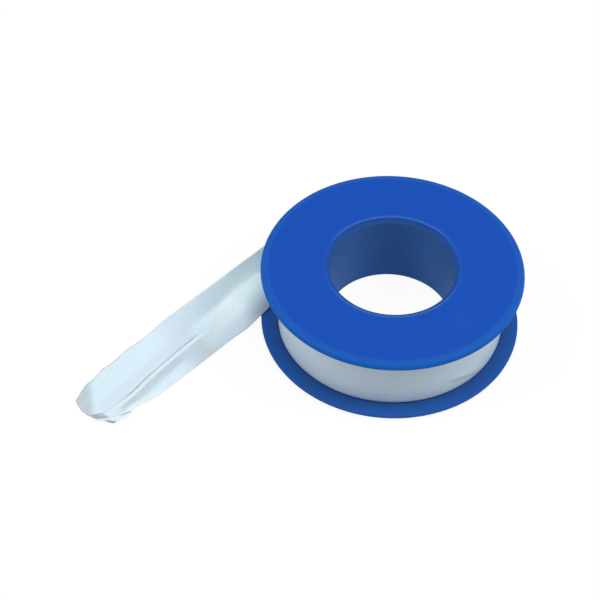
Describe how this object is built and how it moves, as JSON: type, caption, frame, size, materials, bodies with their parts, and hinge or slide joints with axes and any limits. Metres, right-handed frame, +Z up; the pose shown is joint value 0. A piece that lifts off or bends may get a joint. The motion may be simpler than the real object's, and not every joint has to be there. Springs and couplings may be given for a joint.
{
  "type": "thread seal tape roll",
  "caption": "Flat roll of white thread seal tape on a snap-together blue flanged spool with a wide through bore, its loose creased end drawn off and lying flat beside it.",
  "frame": {"origin": "on the spool's axis, in the plane of the lower flange's outside face, which stands on the surface", "axes": "+Z up along the spool's axis, out of the bore's upper mouth; the loose end lies towards -X and -Y"},
  "size_m": [0.0839, 0.0512, 0.0156],
  "materials": {
    "spool_plastic": "satin moulded blue",
    "seal_tape": "silky white"
  },
  "bodies": {
    "spool": {"lower_spool_half": "spool_plastic", "upper_spool_half": "spool_plastic", "tape_pack": "seal_tape"},
    "tape_end": {"outer_turn": "seal_tape", "tape_tail": "seal_tape"}
  },
  "joints": [
    {"name": "tape_unwind", "type": "hinge", "parent": "spool", "child": "tape_end", "pos_m": [0, 0, 0.0078], "axis": [0, 0, 1], "continuous": true}
  ]
}
